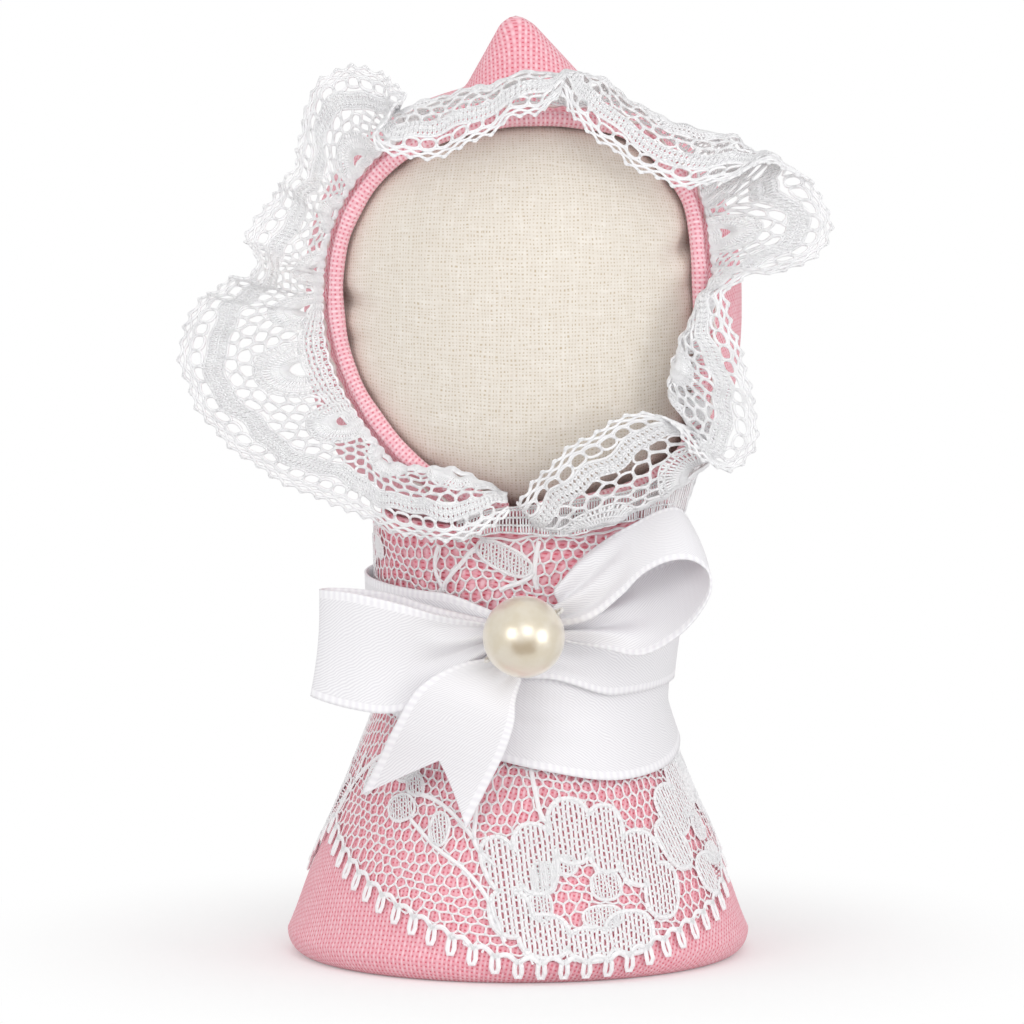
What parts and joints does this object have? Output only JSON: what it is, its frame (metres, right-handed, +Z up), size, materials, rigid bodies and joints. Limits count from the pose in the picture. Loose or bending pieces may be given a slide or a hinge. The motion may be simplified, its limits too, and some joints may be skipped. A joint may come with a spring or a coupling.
{
  "type": "swaddled amulet doll",
  "caption": "Free-standing swaddled cloth doll with a blank linen face, a pointed hood with a gathered lace frill, a lace wrap and a satin bow with a bead.",
  "frame": {"origin": "middle of the flat base, on the surface that the doll stands on", "axes": "+Z up from the base to the hood's peak, -Y the way the face looks, +X to the viewer's right"},
  "size_m": [0.08, 0.0629, 0.1156],
  "materials": {
    "card": "matte grey board",
    "pink_cotton": "plain weave, matte",
    "linen": "plain weave, matte",
    "filling": "loose fibre",
    "lace": "matte thread",
    "satin": "satin",
    "pearl": "pearlescent gloss",
    "thread": "matte thread"
  },
  "bodies": {
    "doll": {"base_card": "card", "base_cloth": "pink_cotton", "body_wrap": "pink_cotton", "body_filling": "filling", "head_cover": "linen", "head_filling": "filling", "neck_tie": "thread", "hood": "pink_cotton", "hood_rim": "pink_cotton", "hood_frill": "lace", "frill_thread": "thread", "lace_wrap": "lace", "ribbon_turn_lower": "satin", "ribbon_turn_upper": "satin", "bow_loop_left": "satin", "bow_loop_right": "satin", "bow_knot": "satin", "pearl_thread": "thread"},
    "tail": {"bow_tail": "satin"},
    "bead": {"pearl_bead": "pearl"}
  },
  "joints": [
    {"name": "tail_lift", "type": "hinge", "parent": "doll", "child": "tail", "pos_m": [-0.0015, -0.0235, 0.0383], "axis": [-0.8253, 0, 0.5647], "range_deg": [0, 60]},
    {"name": "bead_turn", "type": "hinge", "parent": "doll", "child": "bead", "pos_m": [0.0007, -0.02865, 0.043], "axis": [0.829, 0, 0.5592], "continuous": true}
  ]
}
